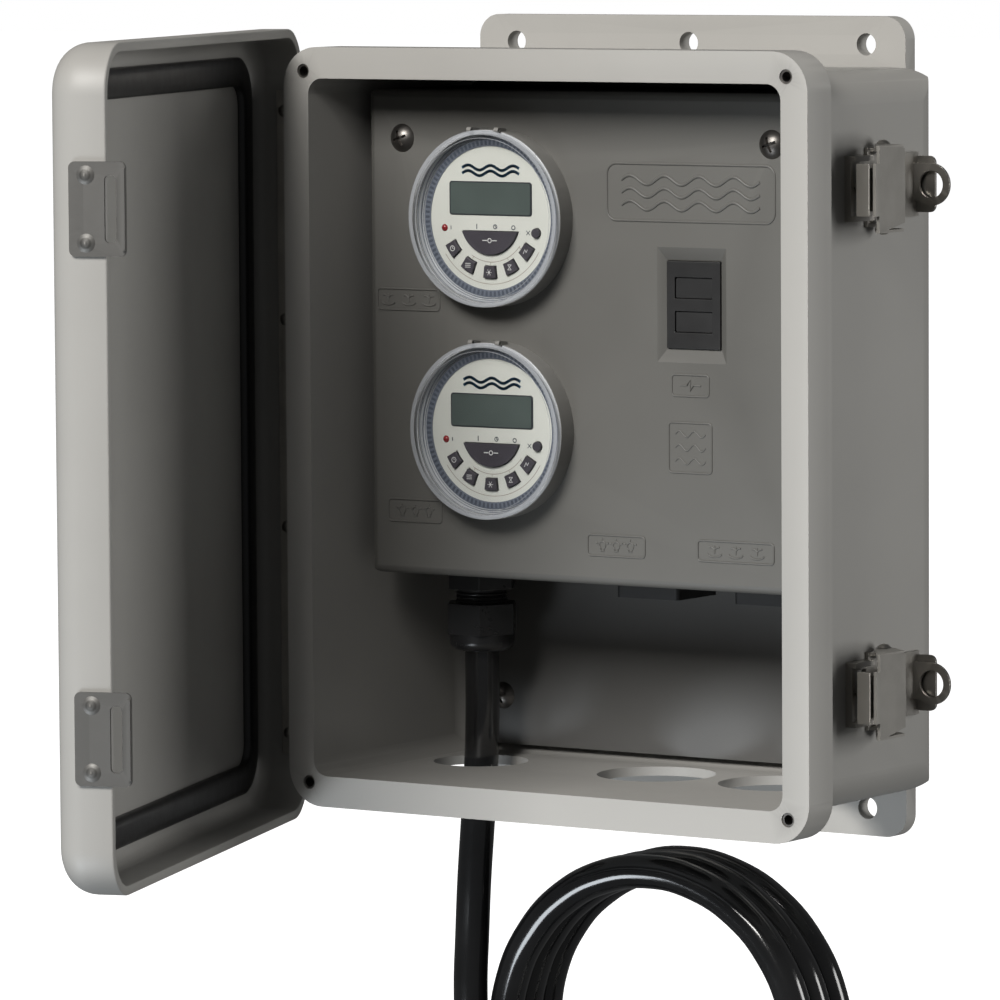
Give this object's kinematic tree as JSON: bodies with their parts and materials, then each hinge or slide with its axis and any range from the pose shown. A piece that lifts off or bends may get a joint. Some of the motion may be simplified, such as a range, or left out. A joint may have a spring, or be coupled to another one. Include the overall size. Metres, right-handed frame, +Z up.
{
  "type": "pond equipment control box",
  "caption": "Wall-mounted grey control box with a hinged latched door, round timers and a ground-fault outlet on an inner panel, and a coiled supply cord.",
  "frame": {"origin": "centre of the wall bolt pattern, on the wall plane", "axes": "+X to the right as seen facing the door, +Y into the wall, +Z up"},
  "size_m": [0.304, 0.3793, 0.58],
  "materials": {
    "moulded_shell": "satin",
    "panel_plastic": "satin",
    "plate_paint": "satin",
    "dial_white": "matte",
    "display_glass": "gloss",
    "indicator_red": "gloss",
    "clear_cover": "gloss",
    "button_rubber": "matte",
    "outlet_plastic": "satin",
    "black_plastic": "satin",
    "cord_jacket": "gloss",
    "gasket_rubber": "satin",
    "brass": "satin",
    "stainless_steel": "satin"
  },
  "bodies": {
    "enclosure": {"enclosure_body": "moulded_shell", "rim_inserts": "brass", "back_plate": "plate_paint", "back_plate_screws": "stainless_steel", "dead_front_panel": "panel_plastic", "panel_screws": "stainless_steel", "panel_posts": "stainless_steel", "timer_1_housing": "panel_plastic", "timer_2_housing": "panel_plastic", "timer_1_dial": "dial_white", "timer_2_dial": "dial_white", "timer_1_display": "display_glass", "timer_2_display": "display_glass", "timer_leds": "indicator_red", "gfci_body": "outlet_plastic", "outlet_left": "outlet_plastic", "outlet_right": "outlet_plastic", "cord_gland_body": "black_plastic", "cord_gland_nut": "black_plastic", "cord_gland_locknut": "black_plastic", "supply_cord": "cord_jacket", "cord_coil": "cord_jacket", "cord_plug": "black_plastic", "plug_blades": "brass", "cord_ties": "black_plastic", "hinge_body_leaf": "stainless_steel", "hinge_pin": "stainless_steel", "latch_upper_base": "stainless_steel", "latch_lower_base": "stainless_steel", "latch_pivots": "stainless_steel", "terminal_block": "outlet_plastic"},
    "door": {"door": "moulded_shell", "door_gasket": "gasket_rubber", "hinge_door_leaf": "stainless_steel", "hinge_rivets": "stainless_steel", "striker_upper": "stainless_steel", "striker_lower": "stainless_steel", "striker_rivets": "stainless_steel"},
    "latch_upper_lever": {"latch_upper_lever": "stainless_steel"},
    "latch_upper_hook": {"latch_upper_hook": "stainless_steel"},
    "latch_lower_lever": {"latch_lower_lever": "stainless_steel"},
    "latch_lower_hook": {"latch_lower_hook": "stainless_steel"},
    "timer_1_cover": {"timer_1_cover": "clear_cover"},
    "timer_1_manual_button": {"timer_1_manual_button": "button_rubber"},
    "timer_1_clock_button": {"timer_1_clock_button": "button_rubber"},
    "timer_1_program_button": {"timer_1_program_button": "button_rubber"},
    "timer_1_day_button": {"timer_1_day_button": "button_rubber"},
    "timer_1_hour_button": {"timer_1_hour_button": "button_rubber"},
    "timer_1_minute_button": {"timer_1_minute_button": "button_rubber"},
    "timer_1_reset_button": {"timer_1_reset_button": "button_rubber"},
    "timer_2_cover": {"timer_2_cover": "clear_cover"},
    "timer_2_manual_button": {"timer_2_manual_button": "button_rubber"},
    "timer_2_clock_button": {"timer_2_clock_button": "button_rubber"},
    "timer_2_program_button": {"timer_2_program_button": "button_rubber"},
    "timer_2_day_button": {"timer_2_day_button": "button_rubber"},
    "timer_2_hour_button": {"timer_2_hour_button": "button_rubber"},
    "timer_2_minute_button": {"timer_2_minute_button": "button_rubber"},
    "timer_2_reset_button": {"timer_2_reset_button": "button_rubber"},
    "gfci_test_button": {"gfci_test_button": "outlet_plastic"},
    "gfci_reset_button": {"gfci_reset_button": "outlet_plastic"}
  },
  "joints": [
    {"name": "door_hinge", "type": "hinge", "parent": "enclosure", "child": "door", "pos_m": [-0.1351, -0.1037, 0], "axis": [0, 0, -1], "range_deg": [-71, 109]},
    {"name": "latch_upper_lever_pivot", "type": "hinge", "parent": "enclosure", "child": "latch_upper_lever", "pos_m": [0.129, -0.0595, 0.1065], "axis": [0, 0, 1], "range_deg": [0, 45]},
    {"name": "latch_upper_hook_slide", "type": "slide", "parent": "enclosure", "child": "latch_upper_hook", "axis": [0, -1, 0], "range_m": [0, 0.016]},
    {"name": "latch_lower_lever_pivot", "type": "hinge", "parent": "enclosure", "child": "latch_lower_lever", "pos_m": [0.129, -0.0595, -0.1065], "axis": [0, 0, 1], "range_deg": [0, 45]},
    {"name": "latch_lower_hook_slide", "type": "slide", "parent": "enclosure", "child": "latch_lower_hook", "axis": [0, -1, 0], "range_m": [0, 0.016]},
    {"name": "timer_1_cover_hinge", "type": "hinge", "parent": "enclosure", "child": "timer_1_cover", "pos_m": [-0.044, -0.1034, 0.1295], "axis": [-1, 0, 0], "range_deg": [0, 110]},
    {"name": "timer_1_manual_press", "type": "slide", "parent": "enclosure", "child": "timer_1_manual_button", "axis": [0, 1, 0], "range_m": [0, 0.0008], "stiffness_N_per_m": 120},
    {"name": "timer_1_clock_press", "type": "slide", "parent": "enclosure", "child": "timer_1_clock_button", "axis": [0, 1, 0], "range_m": [0, 0.0008], "stiffness_N_per_m": 120},
    {"name": "timer_1_program_press", "type": "slide", "parent": "enclosure", "child": "timer_1_program_button", "axis": [0, 1, 0], "range_m": [0, 0.0008], "stiffness_N_per_m": 120},
    {"name": "timer_1_day_press", "type": "slide", "parent": "enclosure", "child": "timer_1_day_button", "axis": [0, 1, 0], "range_m": [0, 0.0008], "stiffness_N_per_m": 120},
    {"name": "timer_1_hour_press", "type": "slide", "parent": "enclosure", "child": "timer_1_hour_button", "axis": [0, 1, 0], "range_m": [0, 0.0008], "stiffness_N_per_m": 120},
    {"name": "timer_1_minute_press", "type": "slide", "parent": "enclosure", "child": "timer_1_minute_button", "axis": [0, 1, 0], "range_m": [0, 0.0008], "stiffness_N_per_m": 120},
    {"name": "timer_1_reset_press", "type": "slide", "parent": "enclosure", "child": "timer_1_reset_button", "axis": [0, 1, 0], "range_m": [0, 0.0008], "stiffness_N_per_m": 120},
    {"name": "timer_2_cover_hinge", "type": "hinge", "parent": "enclosure", "child": "timer_2_cover", "pos_m": [-0.044, -0.1034, 0.038], "axis": [-1, 0, 0], "range_deg": [0, 110]},
    {"name": "timer_2_manual_press", "type": "slide", "parent": "enclosure", "child": "timer_2_manual_button", "axis": [0, 1, 0], "range_m": [0, 0.0008], "stiffness_N_per_m": 120},
    {"name": "timer_2_clock_press", "type": "slide", "parent": "enclosure", "child": "timer_2_clock_button", "axis": [0, 1, 0], "range_m": [0, 0.0008], "stiffness_N_per_m": 120},
    {"name": "timer_2_program_press", "type": "slide", "parent": "enclosure", "child": "timer_2_program_button", "axis": [0, 1, 0], "range_m": [0, 0.0008], "stiffness_N_per_m": 120},
    {"name": "timer_2_day_press", "type": "slide", "parent": "enclosure", "child": "timer_2_day_button", "axis": [0, 1, 0], "range_m": [0, 0.0008], "stiffness_N_per_m": 120},
    {"name": "timer_2_hour_press", "type": "slide", "parent": "enclosure", "child": "timer_2_hour_button", "axis": [0, 1, 0], "range_m": [0, 0.0008], "stiffness_N_per_m": 120},
    {"name": "timer_2_minute_press", "type": "slide", "parent": "enclosure", "child": "timer_2_minute_button", "axis": [0, 1, 0], "range_m": [0, 0.0008], "stiffness_N_per_m": 120},
    {"name": "timer_2_reset_press", "type": "slide", "parent": "enclosure", "child": "timer_2_reset_button", "axis": [0, 1, 0], "range_m": [0, 0.0008], "stiffness_N_per_m": 120},
    {"name": "gfci_test_press", "type": "slide", "parent": "enclosure", "child": "gfci_test_button", "axis": [0, 1, 0], "range_m": [0, 0.0012], "stiffness_N_per_m": 300},
    {"name": "gfci_reset_press", "type": "slide", "parent": "enclosure", "child": "gfci_reset_button", "axis": [0, 1, 0], "range_m": [0, 0.0012], "stiffness_N_per_m": 300}
  ],
  "couplings": [
    {"joint": "latch_upper_hook_slide", "follows": "latch_upper_lever_pivot", "m_per_rad": 0.02037},
    {"joint": "latch_lower_hook_slide", "follows": "latch_lower_lever_pivot", "m_per_rad": 0.02037}
  ]
}
